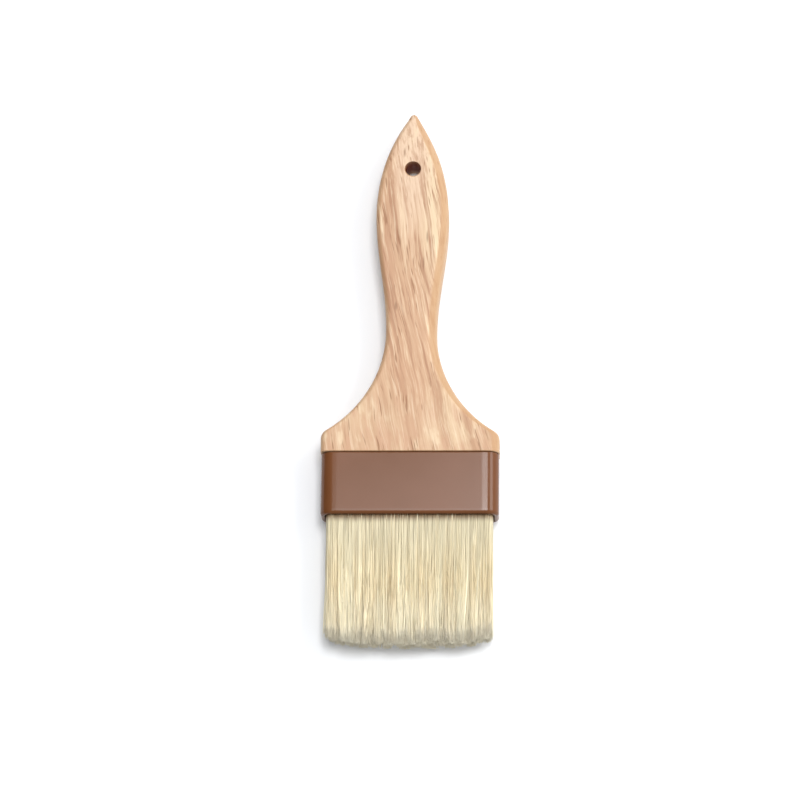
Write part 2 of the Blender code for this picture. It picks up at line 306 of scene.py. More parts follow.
def wood_ground(g, place, grain, flare):
    """Broad tones: leaning bands, a pink and cream mottle in the flare, and the patches."""
    colour = g.ramp(g.grained(grain, 0.10, 105.0), WOOD_GROUND)
    mottle = g.grained(grain, 0.28, 290.0, 3.0, 0.55)
    pink = g.times(flare, g.remap(mottle, 0.49, 0.64, 0.0, 0.65))
    colour = g.mix(pink, colour, MOTTLE_PINK)
    cream = g.times(flare, g.remap(mottle, 0.47, 0.34, 0.0, 0.6))
    colour = g.mix(cream, colour, MOTTLE_CREAM)
    for patch, strength, towards in PATCH_TINTS:
        colour = g.tint(colour, g.spot(place, *patch), strength, towards)
    return colour


def wood_figure(g, place, flare, streak, fibre, colour):
    """Dark and light streaks and fibres, calmer at the tip, in the flare and at its left."""
    figure = g.remap(g.noise(place, 60.0), 0.38, 0.58, 0.8, 1.2)
    plain = g.times(g.spot(place, *PLAIN_PATCH), 0.95)
    calm = g.add(g.times(flare, 0.5), g.times(g.spot(place, *TIP_PATCH), 0.45))
    for quiet in (plain, calm):
        figure = g.times(figure, g.less(1.0, quiet))
    dark = g.times(figure, g.remap(streak, 0.48, 0.61, 0.0, 0.95))
    colour = g.mix(dark, colour, STREAK_DARK)
    light = g.times(figure, g.remap(streak, 0.45, 0.33, 0.0, 0.65))
    colour = g.mix(light, colour, STREAK_LIGHT)
    colour = g.mix(g.remap(fibre, 0.52, 0.72, 0.0, 0.55), colour, FIBRE_DARK)
    return g.mix(g.remap(fibre, 0.48, 0.30, 0.0, 0.45), colour, FIBRE_LIGHT)


def wood_pores(g, grain):
    """Open pores: short dark dashes along the grain, gathered in patches."""
    dashes = g.grained(grain, 0.085, 1150.0, 1.0, 0.4)
    patches = g.grained(grain, 0.3, 90.0, 1.0)
    return g.remap(g.add(dashes, g.times(patches, 0.3)), 0.785, 0.885)


def wood_sides(g, place, normal, colour):
    """Warmer, darker round edges, partly their own grain and partly painted shade, more on the right;
    and side grain on the flanks.
    """
    facing = g.parts(normal)
    upright = g.math("ABSOLUTE", facing[2])
    # Partly painted shade: the round edges darken, more on the right-facing side.
    edge = g.times(g.remap(upright, 0.90, 0.975, 1.0, 0.0), g.remap(facing[0], -0.3, 0.3, 0.35, 0.8))
    colour = g.mix(edge, colour, EDGE_GRAIN_AND_SHADE)
    lines = g.noise(g.scaled(place, (0.3, 0.035, 1.0)), 1300.0, 3.0, 0.6)
    flank = g.remap(upright, 0.25, 0.7, 0.8, 0.0)
    return g.mix(flank, colour, g.ramp(lines, FLANK_GROUND))


def paint_hole_shade(g, place, colour):
    """Paint shade on the wall of the drilled hole, darker with its depth below the faces."""
    centre = (0.0, -(TIP_Y - HOLE_FROM_TIP), -CENTRE_Z)
    x, y, z = g.parts(g.node("ShaderNodeMapping", {"Vector": place, "Location": centre}).outputs[0])
    reach = g.math("SQRT", g.add(g.times(x, x), g.times(y, y)))
    inside = g.remap(reach, HOLE_RADIUS + 0.05 * MM, HOLE_RADIUS + 0.15 * MM, 1.0, 0.0)
    depth = g.remap(g.math("ABSOLUTE", z), 2.0 * MM, 8.5 * MM, 0.95, 0.0)
    # Painted shade: the hole's wall darkens with its depth.
    return g.mix(g.times(inside, depth), colour, HOLE_PAINTED_SHADE)


def wood_material():
    """Pale rubberwood: leaning pink streaks, fine fibres, short open pores, warm cut sides whose
    round edges carry painted shade, and painted shade on the hole's wall.
    """
    g = Graph("pale_wood")
    coords = g.node("ShaderNodeTexCoord").outputs
    place = coords["Object"]
    grain = grain_space(g, place)
    streak = g.grained(grain, 0.042, 430.0, 4.0, 0.66)
    fibre = g.grained(grain, 0.030, 1400.0, 3.0, 0.65)
    pore = wood_pores(g, grain)
    flare = g.remap(g.parts(place)[1], 0.012, -0.020)
    colour = wood_ground(g, place, grain, flare)
    colour = wood_figure(g, place, flare, streak, fibre, colour)
    colour = g.tint(colour, pore, 0.65, PORE_BROWN)
    for fleck in FLECKS:
        colour = g.tint(colour, g.spot(place, *fleck), 0.6, FLECK_BROWN)
    colour = wood_sides(g, place, coords["Normal"], colour)
    colour = paint_hole_shade(g, place, colour)
    rough = g.add(g.remap(streak, 0.3, 0.7, 0.46, 0.58), g.times(pore, 0.2))
    relief = g.bump(g.less(fibre, pore), 0.08 * MM, 0.6)
    return g.finish(Base_Color=colour, Roughness=rough, Normal=relief, Specular_IOR_Level=0.35)


# ---------------------------------------------------------------- plastic, bristle and hidden pieces

PLASTIC_BROWN = (
    (0.3, (0.138, 0.048, 0.015)),
    (0.7, (0.152, 0.053, 0.018)),
)
BRISTLE_TONES = (
    (0.0, (0.61, 0.47, 0.28)),
    (0.3, (0.76, 0.64, 0.41)),
    (0.7, (0.84, 0.75, 0.525)),
    (1.0, (0.90, 0.84, 0.64)),
)
# Painted shade: the bristles darker and greener near the ferrule.
ROOT_PAINTED_SHADE = (0.67, 0.61, 0.44)
# Painted shadow of the ferrule's rim on the bristles just below the mouth.
MOUTH_PAINTED_SHADOW = (0.20, 0.105, 0.045)
# Paler lower bristles: partly their own paler colour, partly painted light that lifts them.
LOWER_PALE_AND_PAINTED_LIGHT = (0.93, 0.86, 0.66)
TIP_GREY = (0.92, 0.90, 0.82)
CORE_TONES = (
    (0.3, (0.66, 0.55, 0.34)),
    (0.7, (0.88, 0.79, 0.57)),
)
RESIN_AMBER = (
    (0.35, (0.36, 0.21, 0.07)),
    (0.65, (0.50, 0.33, 0.13)),
)
SPACER_TAN = (
    (0.3, (0.52, 0.36, 0.20)),
    (0.7, (0.70, 0.52, 0.33)),
)


def plastic_material():
    """Glossy brown moulded plastic with a faint cloudiness and a fine moulded skin."""
    g = Graph("brown_plastic")
    place = g.object_place()
    cloud = g.noise(place, 45.0, 3.0)
    colour = g.ramp(cloud, PLASTIC_BROWN)
    rough = g.remap(cloud, 0.3, 0.7, 0.17, 0.22)
    skin = g.bump(g.noise(place, 600.0), 0.01 * MM, 0.3)
    return g.finish(Base_Color=colour, Roughness=rough, Normal=skin, Specular_IOR_Level=0.27)


def bristle_material():
    """Cream hog bristle: every hair has its own tone, which tells more towards the tips.

    The mesh gives two values: tone, which is the hair's own, and reach, from 0 at the
    ferrule's mouth to 1 at the hair's tip.
    """
    g = Graph("cream_bristle")
    tone = g.node("ShaderNodeAttribute", attribute_name="tone").outputs["Fac"]
    reach = g.node("ShaderNodeAttribute", attribute_name="reach").outputs["Fac"]
    contrast = g.remap(reach, 0.0, 0.7, 0.35, 1.0)
    colour = g.ramp(g.add(g.times(g.less(tone, 0.5), contrast), 0.5), BRISTLE_TONES)
    # Painted shade near the ferrule, fading towards the middle of the bristles.
    colour = g.mix(g.remap(reach, 0.02, 0.6, 0.75, 0.0), colour, ROOT_PAINTED_SHADE)
    # Painted shadow under the ferrule's rim.
    colour = g.mix(g.remap(reach, 0.0, 0.075, 0.9, 0.0), colour, MOUTH_PAINTED_SHADOW)
    # Partly painted light: the lower bristles are made paler.
    colour = g.mix(g.remap(reach, 0.55, 0.85, 0.0, 0.5), colour, LOWER_PALE_AND_PAINTED_LIGHT)
    colour = g.mix(g.remap(reach, 0.85, 1.0, 0.0, 0.35), colour, TIP_GREY)
    return g.finish(Base_Color=colour, Roughness=0.5, Specular_IOR_Level=0.3)


def core_material():
    """The dense inside of the pack, seen only between hairs."""
    g = Graph("bristle_core")
    hair = g.grained(g.object_place(), 0.01, 2600.0, 3.0)
    return g.finish(Base_Color=g.ramp(hair, CORE_TONES), Roughness=0.6)


def resin_material():
    """Amber cast resin with small trapped bubbles."""
    g = Graph("amber_resin")
    cloud = g.noise(g.object_place(), 250.0, 4.0)
    rough = g.remap(cloud, 0.3, 0.7, 0.2, 0.4)
    return g.finish(Base_Color=g.ramp(cloud, RESIN_AMBER), Roughness=rough)


def spacer_material():
    """Plain sawn wood of the spacer strip, with its grain along X."""
    g = Graph("spacer_wood")
    fibre = g.noise(g.scaled(g.object_place(), (0.05, 1.0, 1.0)), 1500.0, 3.0)
    relief = g.bump(fibre, 0.05 * MM)
    return g.finish(Base_Color=g.ramp(fibre, SPACER_TAN), Roughness=0.7, Normal=relief)


# ---------------------------------------------------------------- mesh helpers

# The signs of a section's four corners, in the order that its points run.
CORNER_SIGNS = ((1, 1), (-1, 1), (-1, -1), (1, -1))

# An extra point this far from each end of a flat keeps it flat under smooth shading.
FLAT_END = 0.4 * MM


def link(thing):
    """Put an object into the scene."""
    bpy.context.scene.collection.objects.link(thing)
    return thing


def plain_object(name, verts, faces):
    """Make a mesh object with no material."""
    mesh = bpy.data.meshes.new(name)
    mesh.from_pydata([tuple(v) for v in verts], [], faces)
    return link(bpy.data.objects.new(name, mesh))


def new_object(name, verts, faces, material, slot):
    """Make a smooth mesh object in the frame; the slot is not used."""
    thing = plain_object(name, verts, faces)
    thing.data.validate()
    thing.data.materials.append(material)
    thing.data.shade_smooth()
    return thing


def quarter(steps):
    """Pairs (1 - sine, 1 - cosine) through a quarter turn, for a round edge."""
    angles = [QUARTER_TURN * step / steps for step in range(steps + 1)]
    return [(1.0 - math.sin(a), 1.0 - math.cos(a)) for a in angles]


def corner_arc(half_x, half_z, radii, corner, steps):
    """Points round one corner of a rounded rectangle that is centred on the origin."""
    sign_x, sign_z = CORNER_SIGNS[corner]
    radius = radii[sign_x < 0]
    centre_x = sign_x * (half_x - radius)
    centre_z = sign_z * (half_z - radius)
    angles = [QUARTER_TURN * (corner + step / steps) for step in range(steps + 1)]
    return [(centre_x + radius * math.cos(a), centre_z + radius * math.sin(a)) for a in angles]


def side_points(start, end, count, ends):
    """Points along a side: an even run, with more at the given distances from its ends."""
    length = math.dist(start, end)
    places = [i / count for i in range(1, count)]
    places += [gap / length for gap in ends] + [1.0 - gap / length for gap in ends]
    move_x = end[0] - start[0]
    move_z = end[1] - start[1]
    return [(start[0] + move_x * f, start[1] + move_z * f) for f in sorted(places)]


def section(half_x, half_z, radii, corner_steps, run_x, run_z, ends=(FLAT_END,)):
    """Points (x, z) round a rounded rectangle, with run_x and run_z steps along its sides.

    The radii are those of the right and of the left corners. The ends are the distances of
    the extra points near each end of the long sides; the short sides have the first one only.
    """
    arcs = [corner_arc(half_x, half_z, radii, corner, corner_steps) for corner in range(4)]
    points = []
    for corner, arc in enumerate(arcs):
        following = arcs[(corner + 1) % 4]
        points += arc
        if corner % 2 == 0:
            points += side_points(arc[-1], following[0], run_x, ends)
        else:
            points += side_points(arc[-1], following[0], run_z, ends[:1])
    return [(x, CENTRE_Z + z) for x, z in points]


def loft(rings, closed=False):
    """Vertices and faces that join rings of equal length; open lofts get end caps."""
    count = len(rings[0])
    verts = [point for ring in rings for point in ring]
    faces = []
    last = len(rings) if closed else len(rings) - 1
    for r in range(last):
        a = r * count
        b = ((r + 1) % len(rings)) * count
        for i in range(count):
            j = (i + 1) % count
            faces.append((a + i, a + j, b + j, b + i))
    if not closed:
        faces.append(tuple(reversed(range(count))))
        start = (len(rings) - 1) * count
        faces.append(tuple(range(start, start + count)))
    return verts, faces


def face_outward(thing):
    """Turn the faces of a closed mesh out, if the order of its rings left them facing in."""
    shape = bmesh.new()
    shape.from_mesh(thing.data)
    if shape.calc_volume(signed=True) < 0.0:
        bmesh.ops.reverse_faces(shape, faces=shape.faces)
    shape.to_mesh(thing.data)
    shape.free()


# ---------------------------------------------------------------- handle

# Steps round the handle's section.
HANDLE_CORNER_STEPS = 10
HANDLE_RUN_X = 16
HANDLE_RUN_Z = 4

# Steps down the handle, crowded towards the tip, and two last places along its straight end.
TIP_STEPS = 5
FIRST_BULGE_STEP = 4
BULGE_STEPS = 44
BULGE_CROWDING = 1.4
NECK_STEPS = 36
FLARE_STEPS = 48
FILLET_STEPS = 12
PAST_FILLET = 2.0 * MM
BEFORE_SHOULDER = 1.0 * MM

# The most that an edge's rounding takes of a thin section.
EDGE_SHARE = 0.92

# The waves that sanding leaves, in waves per metre, and their depth.
SANDING_WAVES = 55.0
SANDING_RIPPLES = 140.0
SANDING_DEPTH = 0.04 * MM

HOLE_SIDES = 72
HOLE_CHAMFER = 0.3 * MM
WOOD_SHARP_ANGLE = math.radians(32.0)


def ease(start, end, fraction):
    """Go from start to end on half a cosine wave, level at both."""
    fraction = min(max(fraction, 0.0), 1.0)
    return start + (end - start) * (1.0 - math.cos(math.pi * fraction)) / 2.0


def ogive(at_tip, at_bulge, from_tip):
    """A circular arc from the tip to the bulge, level at the bulge."""
    rise = at_bulge - at_tip
    radius = (BULGE_FROM_TIP ** 2 + rise ** 2) / (2.0 * rise)
    back = BULGE_FROM_TIP - from_tip
    return at_bulge - radius + math.sqrt(radius ** 2 - back ** 2)


def shoulder_fillet():
    """The centre of the shoulder's rounding, and where the flare's arc runs into it."""
    reach = FLARE_RADIUS + SHOULDER_RADIUS
    height = SHOULDER_HALF_WIDTH - SHOULDER_RADIUS
    drop = NECK_HALF_WIDTH + FLARE_RADIUS - height
    along = math.sqrt(reach ** 2 - drop ** 2)
    return (NECK_FROM_TIP + along, height), NECK_FROM_TIP + along * FLARE_RADIUS / reach


FILLET_CENTRE, FLARE_END = shoulder_fillet()


def to_neck(from_tip):
    """How far a place is from the bulge to the neck, as a fraction."""
    return (from_tip - BULGE_FROM_TIP) / (NECK_FROM_TIP - BULGE_FROM_TIP)


def handle_half_width(from_tip):
    """Half the handle's width: ogive, waist, flare, rounded shoulder."""
    if from_tip < BULGE_FROM_TIP:
        return ogive(TIP_HALF_WIDTH, BULGE_HALF_WIDTH, from_tip)
    if from_tip < NECK_FROM_TIP:
        return ease(BULGE_HALF_WIDTH, NECK_HALF_WIDTH, to_neck(from_tip))
    if from_tip < FLARE_END:
        along = from_tip - NECK_FROM_TIP
        return NECK_HALF_WIDTH + FLARE_RADIUS - math.sqrt(FLARE_RADIUS ** 2 - along ** 2)
    if from_tip < FILLET_CENTRE[0]:
        back = FILLET_CENTRE[0] - from_tip
        return FILLET_CENTRE[1] + math.sqrt(SHOULDER_RADIUS ** 2 - back ** 2)
    return SHOULDER_HALF_WIDTH


def handle_half_thickness(from_tip):
    """Half the handle's thickness: thin at the tip, slightly waisted at the neck."""
    if from_tip < BULGE_FROM_TIP:
        return ogive(TIP_HALF_THICKNESS, HALF_THICKNESS, from_tip)
    if from_tip < NECK_FROM_TIP:
        return ease(HALF_THICKNESS, NECK_HALF_THICKNESS, to_neck(from_tip))
    fraction = (from_tip - NECK_FROM_TIP) / (FLARE_END - NECK_FROM_TIP)
    return ease(NECK_HALF_THICKNESS, HALF_THICKNESS, fraction)


def wood_section(half_x, half_z, radii):
    """A section with the same number of points all the way down the handle."""
    return section(half_x, half_z, radii, HANDLE_CORNER_STEPS, HANDLE_RUN_X, HANDLE_RUN_Z)


def handle_ring(from_tip, inset=0.0):
    """The ring round the handle at a distance from its tip."""
    half_x = handle_half_width(from_tip) - inset
    half_z = handle_half_thickness(from_tip) - inset
    limit = EDGE_SHARE * min(half_x, half_z)
    radii = [min(radius - inset, limit) for radius in (EDGE_RADIUS, LEFT_EDGE_RADIUS)]
    return [(x, TIP_Y - from_tip, z) for x, z in wood_section(half_x, half_z, radii)]


def tenon_ring(y, inset):
    """The ring round the tenon, which fills the ferrule as the bristle pack does."""
    half_x = PACK_HALF_WIDTH - inset
    half_z = PACK_HALF_DEPTH - inset
    radii = (PACK_CORNER - inset, PACK_CORNER - inset)
    return [(x, y, z) for x, z in wood_section(half_x, half_z, radii)]


def handle_stations(shoulder):
    """Distances from the tip, closer together where the outline turns."""
    fractions = [i / BULGE_STEPS for i in range(FIRST_BULGE_STEP, BULGE_STEPS)]
    to_bulge = [BULGE_FROM_TIP * fraction ** BULGE_CROWDING for fraction in fractions]
    stations = [place for place in to_bulge if place > TIP_ROUND]
    neck = NECK_FROM_TIP - BULGE_FROM_TIP
    stations += [BULGE_FROM_TIP + neck * i / NECK_STEPS for i in range(NECK_STEPS)]
    flare = FLARE_END - NECK_FROM_TIP
    stations += [NECK_FROM_TIP + flare * i / FLARE_STEPS for i in range(FLARE_STEPS)]
    fillet = FILLET_CENTRE[0] - FLARE_END
    turns = [QUARTER_TURN * i / FILLET_STEPS for i in range(FILLET_STEPS + 1)]
    stations += [FLARE_END + fillet * math.sin(turn) for turn in turns]
    straight = [FILLET_CENTRE[0] + PAST_FILLET, shoulder - BEFORE_SHOULDER, shoulder - BEVEL]
    return stations + straight


def handle_rings():
    """Rings from the blunt tip to the tenon's end."""
    shoulder = TIP_Y - FERRULE_TOP - GAP
    blunt = [handle_ring(TIP_ROUND * back, TIP_ROUND * inset) for back, inset in quarter(TIP_STEPS)]
    rings = blunt[::-1]
    rings += [handle_ring(station) for station in handle_stations(shoulder)]
    rings += [handle_ring(shoulder, BEVEL), tenon_ring(FERRULE_TOP + GAP, 0.0)]
    rings += [tenon_ring(TENON_END + BEVEL, 0.0), tenon_ring(TENON_END, BEVEL)]
    return rings


def sand(thing):
    """Give the wood the slight waviness that hand sanding leaves, always inwards.

    The two noises together stay between -1.5 and 1.5.
    """
    for vertex in thing.data.vertices:
        wave = noise.noise(vertex.co * SANDING_WAVES)
        ripple = 0.5 * noise.noise(vertex.co * SANDING_RIPPLES)
        vertex.co += vertex.normal * ((wave + ripple - 1.5) * SANDING_DEPTH)


def make_drill():
    """The shape of the hanging hole: a round bar that widens past both faces."""
    half = handle_half_thickness(HOLE_FROM_TIP)
    flare = HOLE_RADIUS + HOLE_CHAMFER + WALL
    profile = (
        (-half - WALL, flare),
        (-half + HOLE_CHAMFER, HOLE_RADIUS),
        (half - HOLE_CHAMFER, HOLE_RADIUS),
        (half + WALL, flare),
    )
    y = TIP_Y - HOLE_FROM_TIP
    angles = [math.tau * i / HOLE_SIDES for i in range(HOLE_SIDES)]
    rings = []
    for height, radius in profile:
        z = CENTRE_Z + height
        rings.append([(radius * math.cos(a), y + radius * math.sin(a), z) for a in angles])
    drill = plain_object("drill", *loft(rings))
    face_outward(drill)
    return drill


def drill_hole(thing):
    """Cut the hanging hole, with its rims slightly broken."""
    drill = make_drill()
    cut = thing.modifiers.new("hole", "BOOLEAN")
    cut.operation = "DIFFERENCE"
    cut.object = drill
    graph = bpy.context.evaluated_depsgraph_get()
    result = bpy.data.meshes.new_from_object(thing.evaluated_get(graph))
    thing.modifiers.clear()
    thing.data = result
    mesh = drill.data
    bpy.data.objects.remove(drill, do_unlink=True)
    bpy.data.meshes.remove(mesh)


def make_handle(material):
    """The wooden handle, from tip to tenon, as one closed mesh."""
    verts, faces = loft(handle_rings())
    handle = new_object("wooden_handle", verts, faces, material, "handle_wood")
    face_outward(handle)
    sand(handle)
    drill_hole(handle)
    handle.data.shade_smooth()
    handle.data.set_sharp_from_angle(angle=WOOD_SHARP_ANGLE)
    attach(handle, HANDLE_BODY)
    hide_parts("handle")


# ---------------------------------------------------------------- ferrule

# The strip beside each round corner of the band, where its faces begin to fall away.
STRIP_WIDTH = 2.0 * MM
STRIP_SLOPE = 0.065
STRIP_BLEND = 0.3 * MM
STRIP_POINTS = tuple(step * MM for step in (0.4, 1.0, 1.5, 1.8, 2.1, 2.5, 3.2))

# Steps round the band's section, and along its wall from one end to the other.
FERRULE_CORNER_STEPS = 18
FERRULE_RUN_X = 12
FERRULE_RUN_Z = 3
BEVEL_STEPS = 4
RIM_STEPS = 8
OUTER_STATIONS = (0.02, 0.25, 0.5, 0.75, 0.92)
INNER_STATIONS = (0.03, 0.5, 0.97)
PLASTIC_SHARP_ANGLE = math.radians(40.0)


def crowned(x, z):
    """Let a narrow strip beside each round corner fall away, as moulded bands do."""
    past = max(abs(x) - (FERRULE_HALF_WIDTH - EDGE_RADIUS - STRIP_WIDTH), 0.0)
    drop = STRIP_SLOPE * (math.hypot(past, STRIP_BLEND) - STRIP_BLEND)
    return CENTRE_Z + (z - CENTRE_Z) * (1.0 - drop / HALF_THICKNESS)


def ferrule_profile():
    """The wall's outline as (inset, y): down the outside, round the rim and up the inside."""
    length = FERRULE_TOP - MOUTH
    profile = [(BEVEL * s, FERRULE_TOP - BEVEL * c) for s, c in quarter(BEVEL_STEPS)]
    profile += [(0.0, FERRULE_TOP - length * f) for f in OUTER_STATIONS]
    profile += [(RIM_RADIUS * c, MOUTH + RIM_LENGTH * s) for s, c in quarter(RIM_STEPS)]
    profile += [(WALL - BEVEL * s, MOUTH + BEVEL * c) for s, c in quarter(BEVEL_STEPS)]
    profile += [(WALL, MOUTH + length * f) for f in INNER_STATIONS]
    return profile + [(WALL, FERRULE_TOP - BEVEL), (WALL - BEVEL, FERRULE_TOP)]


def ferrule_ring(inset, y):
    """The ring round the band's wall, at an inset from its outside."""
    half_x = FERRULE_HALF_WIDTH - inset
    half_z = HALF_THICKNESS - inset
    radii = (EDGE_RADIUS - inset, EDGE_RADIUS - inset)
    steps = (FERRULE_CORNER_STEPS, FERRULE_RUN_X, FERRULE_RUN_Z)
    return [(x, y, crowned(x, z)) for x, z in section(half_x, half_z, radii, *steps, STRIP_POINTS)]


def make_ferrule(material):
    """The moulded band: an open tube with rounded corners and a rolled rim at its mouth."""
    rings = [ferrule_ring(inset, y) for inset, y in ferrule_profile()]
    verts, faces = loft(rings, closed=True)
    ferrule = new_object("plastic_ferrule", verts, faces, material, "ferrule_plastic")
    face_outward(ferrule)
    ferrule.data.set_sharp_from_angle(angle=PLASTIC_SHARP_ANGLE)
    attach(ferrule, HANDLE_BODY)
    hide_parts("ferrule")


# ---------------------------------------------------------------- bristles

# One hair: a tube that is a little thinner near its tip, and thin at its very end.
HAIRS_PER_TUFT = 780
HAIR_POINTS = 12
HAIR_SIDES = 3
HAIR_RADIUS = 0.16 * MM
HAIR_THICKNESS = (0.75, 1.2)
HAIR_TAPER = 0.45
HAIR_TIP_SCALE = 0.4

# Where hairs root and how crowded they are towards the faces.
ROOT_DEPTH = 5.0 * MM
ROOT_INSET = 1.3 * HAIR_RADIUS
FACE_CROWDING = 0.75

# Clumps, which share a tone, a sway and a length; beats are half waves down a hair's length.
CLUMP_SEED = 42
CLUMP_GRID = (36, 6)
CLUMP_JITTER = 0.5
CLUMP_DEPTH_WEIGHT = 0.8
CLUMP_SHIFT = (0.8 * MM, 0.4 * MM)
CLUMP_LENGTH = 0.9 * MM
CLUMP_TONES = (0.25, 0.75)
CLUMP_SWAY = 0.45 * MM
CLUMP_BEATS = (0.7, 2.2)

# The broader locks at the tips.
LOCK_SEED = 43
LOCK_GRID = (17, 3)
LOCK_JITTER = 0.6
LOCK_DEPTH_WEIGHT = 0.7
LOCK_LENGTH = 0.56 * MM

# How one hair wanders: towards its clump and its lock, and on its own.
CLUMP_PULL = (0.05, 0.45)
LOCK_PULL = (0.15, 0.55)
SCATTER = (0.75 * MM, 0.35 * MM)
STRAY_SHARE = 0.03
STRAY_SCALE = 3.0
BOW = 0.32 * MM
BOW_BEATS = (0.8, 2.4)
CRIMP = 0.10 * MM
CRIMP_BEATS = (3.0, 5.5)
TONE_SPREAD = 0.17

# The pack as a whole: shorter at its corners, narrower at its end, fuller in its middle, and
# closed a little at its tips.
CORNER_DROP = 3.2 * MM
END_NARROWING = 0.035
BELLY = 0.06
END_CLOSING = 0.16
PACK_LIMIT = 7.2 * MM

# How much shorter than the pack a hair may be: at random, more at the faces, or a little longer.
SHORT_ANYWHERE = 0.8 * MM
SHORT_AT_FACES = 0.3 * MM
LONGEST = 0.6 * MM

# The core inside the pack: its section, its two ends and the grooves in its faces, which are
# offsets in millimetres, below nought where they go in.
CORE_SEED = 7
CORE_INSET = 0.6 * MM
CORE_CORNER = 2.1 * MM
CORE_CORNER_STEPS = 6
CORE_RUN_X = 150
CORE_RUN_Z = 22
CORE_STEPS = 11
CORE_START = MOUTH + ROOT_DEPTH - 0.5 * MM
CORE_END = BRISTLE_END + 10.0 * MM
CORE_NARROWING = 0.03
CORE_END_SHRINK = 0.25
CORE_FACE = 2.0 * MM
GROOVE_SPREAD = (-0.25, 0.1)


def pack_end(x):
    """Where the pack ends, a little shorter towards its two corners."""
    return BRISTLE_END + CORNER_DROP * np.abs(x / PACK_HALF_WIDTH) ** 4


def scattered_grid(rng, grid, jitter):
    """Points (x, z) over the pack's section, one to a cell and moved at random."""
    columns, rows = grid
    x = (np.arange(columns) + 0.5) / columns * 2.0 - 1.0
    z = (np.arange(rows) + 0.5) / rows * 2.0 - 1.0
    points = np.stack(np.meshgrid(x, z, indexing="ij"), -1).reshape(-1, 2)
    points = points + rng.uniform(-jitter, jitter, points.shape) * (2.0 / columns, 2.0 / rows)
    return points * (PACK_HALF_WIDTH, PACK_HALF_DEPTH)


def make_clumps(rng):
    """The clumps: where they root, and their shift, length, tone and sway at the tip."""
    roots = scattered_grid(rng, CLUMP_GRID, CLUMP_JITTER)
    count = len(roots)
    return {
        "roots": roots,
        "shifts": rng.normal(0.0, 1.0, (count, 2)) * CLUMP_SHIFT,
        "lengths": rng.normal(0.0, CLUMP_LENGTH, count),
        "tones": rng.uniform(*CLUMP_TONES, count),
        "sways": rng.normal(0.0, CLUMP_SWAY, (count, 2)),
        "beats": rng.uniform(*CLUMP_BEATS, count),
    }


def make_locks(rng):
    """The broader locks that the clumps gather into at their tips."""
    roots = scattered_grid(rng, LOCK_GRID, LOCK_JITTER)
    return {"roots": roots, "lengths": rng.normal(0.0, LOCK_LENGTH, len(roots))}


def nearest(roots, centres, depth_weight):
    """Which of the centres each root is nearest to."""
    apart = (roots[:, None] - centres[None]) * (1.0, depth_weight)
    return np.linalg.norm(apart, axis=-1).argmin(1)


def hair_roots(rng, side, column, count):
    """Root points of one tuft, with more of them near the outer face."""
    pitch = 2.0 * PACK_HALF_WIDTH / TUFTS_PER_ROW
    x = -PACK_HALF_WIDTH + pitch * (column + rng.uniform(0.0, 1.0, count))
    z = side * rng.uniform(0.0, 1.0, count) ** FACE_CROWDING * PACK_HALF_DEPTH
    x = np.clip(x, ROOT_INSET - PACK_HALF_WIDTH, PACK_HALF_WIDTH - ROOT_INSET)
    z = np.clip(z, ROOT_INSET - PACK_HALF_DEPTH, PACK_HALF_DEPTH - ROOT_INSET)
    over_x = np.maximum(np.abs(x) - (PACK_HALF_WIDTH - PACK_CORNER), 0.0)
    over_z = np.maximum(np.abs(z) - (PACK_HALF_DEPTH - PACK_CORNER), 0.0)
    far = np.maximum(np.hypot(over_x, over_z) / (PACK_CORNER - ROOT_INSET), 1.0)
    x = x - np.sign(x) * over_x * (1.0 - 1.0 / far)
    z = z - np.sign(z) * over_z * (1.0 - 1.0 / far)
    return np.stack([x, z], -1)


def free_fractions():
    """How far out of the ferrule each point of a hair is: 0 at the mouth, 1 at the tip."""
    down = np.linspace(0.0, 1.0, HAIR_POINTS) * (MOUTH + ROOT_DEPTH - BRISTLE_END)
    return np.clip((down - ROOT_DEPTH) / (MOUTH - BRISTLE_END), 0.0, 1.0)


def wandering(rng, roots, clumps, clump):
    """Places (hair, point, xz) of hairs that lean to their clumps, bow, sway and crimp."""
    count = len(roots)
    free = free_fractions()[None, :, None]
    pull = rng.uniform(*CLUMP_PULL, (count, 1, 1)) * free ** 1.6
    scatter = rng.normal(0.0, 1.0, (count, 2)) * SCATTER
    scatter[rng.uniform(0.0, 1.0, count) < STRAY_SHARE] *= STRAY_SCALE
    bow = rng.normal(0.0, BOW, (count, 1, 2))
    wave = np.sin(math.pi * free * rng.uniform(*BOW_BEATS, (count, 1, 1))) * free
    crimp = rng.normal(0.0, CRIMP, (count, 1, 1)) * free ** 0.5
    crimp = crimp * np.sin(math.pi * free * rng.uniform(*CRIMP_BEATS, (count, 1, 1)))
    sway = clumps["sways"][clump][:, None] * (1.0, 0.5)
    beat = np.sin(math.pi * free * clumps["beats"][clump][:, None, None]) * free
    start = roots[:, None]
    target = (clumps["roots"] + clumps["shifts"])[clump][:, None]
    swell = (1.0 - END_NARROWING * free, 1.0 + BELLY * np.sin(math.pi * free))
    places = start * np.concatenate(swell, -1) + (target - start) * pull
    places = places + scatter[:, None] * free ** 1.5 + bow * wave + sway * beat
    return places + crimp * (1.0, 0.0)


def gathered(rng, places, locks, lock):
    """Draw the tips together into their locks and close the pack a little at its end."""
    free = free_fractions()[None, :, None]
    gather = rng.uniform(*LOCK_PULL, (len(places), 1, 1)) * free ** 7
    places = places + (locks["roots"][lock][:, None] - places) * gather * (1.0, 0.8)
    closing = 1.0 - END_CLOSING * free[..., 0] ** 5
    places[..., 1] = np.clip(places[..., 1] * closing, -PACK_LIMIT, PACK_LIMIT)
    return places


